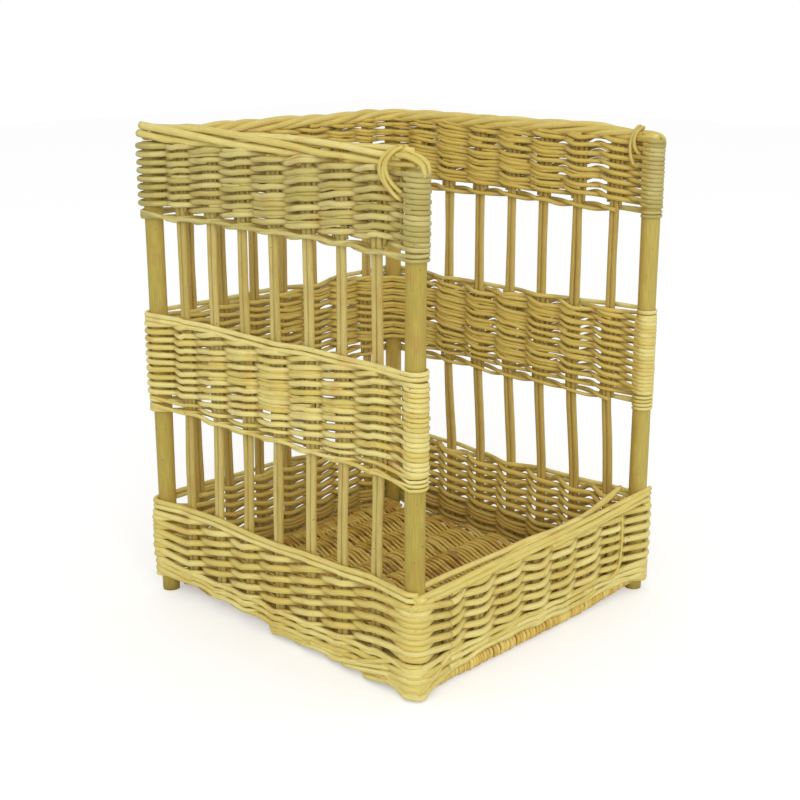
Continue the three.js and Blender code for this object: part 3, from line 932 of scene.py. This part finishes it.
def crossing_rods(height, ends, radius, strands):
    """Two or three rods on three walls that cross between the stakes. The third ends at the last
    stakes, and the others are wound round the front posts."""
    rods = []
    for strand in range(strands):

        def row_level(wall, along):
            end = ends[1] if wall == "left" else ends[0]
            far = along if wall == "right" else walls["left"][2] - along
            share = 0 if wall == "back" else np.clip(0.7 - far / (120 * mm), 0, 1)
            lift = corner_lift if strands == 2 and wall != "left" else 0
            return height + lift + (end - height) * share + wave(wall, along, height)

        around = post_radius + radius
        wound = post_radius + wrap_gap
        stack = (0.5 - strand) * stack_gap
        marks = []
        if strand < 2:
            marks = round_post("right", False, np.linspace(-300, -95, 9), wound, ends[0] + stack)
        for wall in tall_walls:
            size = 0.5 if strands == 2 else 1.4
            marks.extend(past_wall(wall, strand, strands, row_level, radius, size))
            if wall != "left":
                marks.extend(round_post(wall, True, short_angles, around, height + stack * 0.6))
        if strand < 2:
            marks.extend(round_post("left", True, np.linspace(-95, 150, 9), wound, ends[1] + stack))
        path = smooth_path(marks)
        rods.extend(cut_into_rods(path, radius * 1.05, radius * 0.9, 900 * mm, pressed=0.8))
    return rods


middle_pitch = 8.45 * mm
middle_rods = woven_rows(10, 238.5 * mm, middle_pitch, (1.03, 1.12), 3.15 * mm, 2.8 * mm, 0.76)
middle_rods += short_rods(72, 238 * mm, 320 * mm, middle_pitch, 2.0 * mm, 0.7)
middle_rods += crossing_rods(221 * mm, (219 * mm, 218 * mm), 2.2 * mm, 3)
middle_rods += crossing_rods(229.5 * mm, (227.5 * mm, 226.5 * mm), 2.2 * mm, 2)
middle_rods += edge_rod(
    319.5 * mm, (321 * mm, 322.5 * mm), 2.6 * mm, (1, 4, 8, 11, 14), (200, 200), pressed=1
)
middle_rods += edge_rod(324.4 * mm, (326 * mm, 327 * mm), 2.7 * mm, (3, 6, 10), (200, 200), pressed=1)
middle_nodes = ["middle_weave_" + wall for wall in reversed(tall_walls)]
rod_piece("middle_band_rods", middle_rods, weave_willow, middle_nodes, sides=8)


# The top band is woven in the same way, under the borders and over three crossing rods. Its rods
# are coloured a little darker, as painted shade for the darker top of the walls, with painted shade
# round the posts and between the rods.
top_shaded_willow = willow(
    "top_shaded_willow",
    straw=paint(200, 184, 102), pale=paint(230, 215, 140),
    ochre=paint(206, 164, 84), inside=paint(224, 196, 98),
    inside_shade_and_tint=0.9, post_shade=0.16, crevice_shade=0.35,
)
top_pitch = 8.6 * mm
top_rods = woven_rows(8, 446 * mm, top_pitch, (1.06, 1.1), 3.15 * mm, 2.85 * mm, 0.66)
top_rods += short_rods(64, 446 * mm, 516 * mm, top_pitch, 2.0 * mm, 0.6)
top_rods += crossing_rods(435 * mm, (433 * mm, 433 * mm), 2.3 * mm, 3)
top_nodes = ["top_weave_" + wall for wall in reversed(tall_walls)]
rod_piece("top_band_rods", top_rods, top_shaded_willow, top_nodes, sides=8)


# The top border of the left wall is four long rods, laid along the edge and twisted slowly round
# one another. They run on a little past the back post, and their other ends are tied at the front
# post.
bundle_middle = 520.4 * mm
bundle_start = -14 * mm
bundle_turn = 560 * mm
bundle_reach = (4.2 * mm, 6.6 * mm)  # from its middle to the middle of a rod, inwards and upwards
bundle_ends = (-2 * mm, -9 * mm, -4 * mm, -17 * mm)  # from the middle of the front post
bundle_rods = []
for number in range(4):
    marks = []
    end = post_spacing_y + bundle_ends[number]
    for share in np.linspace(0, 1, 11):
        begin = bundle_start + chance.normal(0, 2 * mm) * (share == 0)
        along = begin + (end - bundle_start) * share
        turn = 2 * math.pi * (number / 4 + 0.1 + along / bundle_turn)
        depth = bundle_reach[0] * math.cos(turn) + chance.normal(0, 0.3 * mm)
        height = bundle_middle + bundle_reach[1] * math.sin(turn) + chance.normal(0, 0.3 * mm)
        marks.append(on_wall("left", along, depth, height))
    path = smooth_path(marks, 7 * mm)
    radii = np.linspace(4.2, 2.7, len(path)) * mm
    bundle_rods.append((path, radii, (0, 0, 1), chance.uniform(0.2, 1)))
rod_piece("left_border_rods", bundle_rods, border_willow, ["top_border_left"])


# The top border of the right and back walls is a rope of four thick rods, twisted round one another
# along the edge and round the back-right corner.
rope_middle = 517.6 * mm
rope_rod_radius = 3.7 * mm
rope_reach = 4.4 * mm  # from the middle of the rope to the middle of a rod
rope_turn = 190 * mm
rope_taper = 70 * mm  # over this length at its front end the rope is thinner
rope_drop = 4.5 * mm  # and so much lower at its end
corner_bend = 14 * mm
line = [(half_x, -half_y - 5 * mm), (half_x, half_y - corner_bend)]
for angle in (22, 45, 68):
    turn = math.radians(angle)
    line.append(
        (half_x - corner_bend * (1 - math.cos(turn)), half_y - corner_bend * (1 - math.sin(turn)))
    )
line += [(half_x - corner_bend, half_y), (-half_x - 2 * mm, half_y)]
line = np.array([(x, y, rope_middle) for x, y in line])
reached = distances(line)
even = np.arange(0, reached[-1], 6 * mm)
centre = np.stack([np.interp(even, reached, line[:, axis]) for axis in range(3)], -1)
ahead = np.gradient(centre, axis=0)
ahead /= np.linalg.norm(ahead, axis=1)[:, None]
inwards = np.cross((0, 0, 1), ahead)
rope_rods = []
for number in range(4):
    turn = -2 * math.pi * even / rope_turn + number * math.pi / 2
    turn = turn + 0.25 * np.sin(even * 31 + number)
    full = np.interp(even, (0, rope_taper / 2, rope_taper), (0.3, 0.7, 1))
    reach = (rope_reach + 0.5 * mm * np.sin(even * 23 + number * 2)) * full
    path = centre + reach[:, None] * np.cos(turn)[:, None] * inwards
    path[:, 2] += reach * np.sin(turn) - rope_drop * np.interp(even, (0, rope_taper), (1, 0))
    radii = rope_rod_radius * (0.4 + 0.6 * full) * (1 + 0.06 * np.sin(even * 9 + number * 1.7))
    rope_rods.append((path, radii, (0, 0, 1), chance.uniform(0.1, 1)))
rope_nodes = ["top_border_right", "top_border_back"]
rod_piece("rope_border_rods", rope_rods, border_willow, rope_nodes)


# Thin rods are wound round the free ends of the borders and through the weave under them, just
# behind the front posts: three loops on the left and two on the right. Two rods run on over the top
# of the left post, and one over the right.
tie_willow = willow(
    "tie_willow",
    straw=paint(214, 192, 98), pale=paint(232, 214, 124),
    ochre=paint(206, 162, 82), inside=paint(214, 186, 94),
    inside_shade_and_tint=0.4,
)
tie_radius = 1.9 * mm
# A loop, in mm: along the wall from its middle, inwards, and above the ground
loop_top = 532
loop_marks = (
    (6, -3, 532), (1, -10, 528), (-5, -14, 520), (-7, -15, 511), (-5, -14, 502), (1, -12, 493),
    (7, -9, 487), (8, 0, 485), (6, 10, 490), (2, 11, 505), (3, 9, 522), (6, 3, 531), (6, -3, 532),
)
# The rods over the posts, in mm: along the wall from the post's middle, inwards, and their height
over_left_post = (
    ((-24, -3, 525), (-10, 0, 524), (0, 3, 521), (6, 5.5, 517), (7.6, 6.8, 512), (7.6, 6.8, 505)),
    ((-20, -6, 522), (-8, -5, 522), (1, -3, 519), (7.5, -1.5, 515), (9.8, -1.6, 510), (10, -1.6, 504)),
)
over_right_post = (
    ((14, 2, 518), (4, -1, 517.5), (-3, -3.5, 516), (-7.5, -6.2, 512), (-7.8, -6.6, 505)),
)


def tie_rods(name, node, wall, middle, count, spread, top, loop_share, side, over_post):
    """Loops of thin rod round a border and through the weave under it, and rods over the post."""
    rods = []
    across = (*walls[wall][1], 0.02)
    for loop in range(count):
        at = middle + (loop - (count - 1) / 2) * spread
        wobble = chance.normal(0, 0.4 * mm, 3)
        marks = []
        for along, inward, height in loop_marks:
            height = top - (loop_top - height) * loop_share[loop]
            place = on_wall(wall, at + side * along * mm, inward * 0.8 * mm, height * mm)
            marks.append(np.array(place) + wobble)
        path = smooth_path(marks, 3.5 * mm)
        rods.append((path, tie_radius, across, chance.uniform(0.2, 1)))
    post_at = post_spacing_y if wall == "left" else 0
    for marks in over_post:
        places = [on_wall(wall, post_at + u * mm, v * mm, z * mm) for u, v, z in marks]
        path = smooth_path(places, 3.5 * mm)
        rods.append((path, np.linspace(2.9, 2.5, len(path)) * mm, across, chance.uniform(0.3, 1)))
    rod_piece(name, rods, tie_willow, [node])


tie_rods(
    "left_tie_rods", "left_border_tie", "left", post_spacing_y - 23 * mm, 3, 3.7 * mm,
    529, (0.92, 0.97, 0.87), 1, over_left_post,
)
tie_rods(
    "right_tie_rods", "right_border_tie", "right", 24 * mm, 2, 4.2 * mm,
    523, (0.6, 0.92), -1, over_right_post,
)
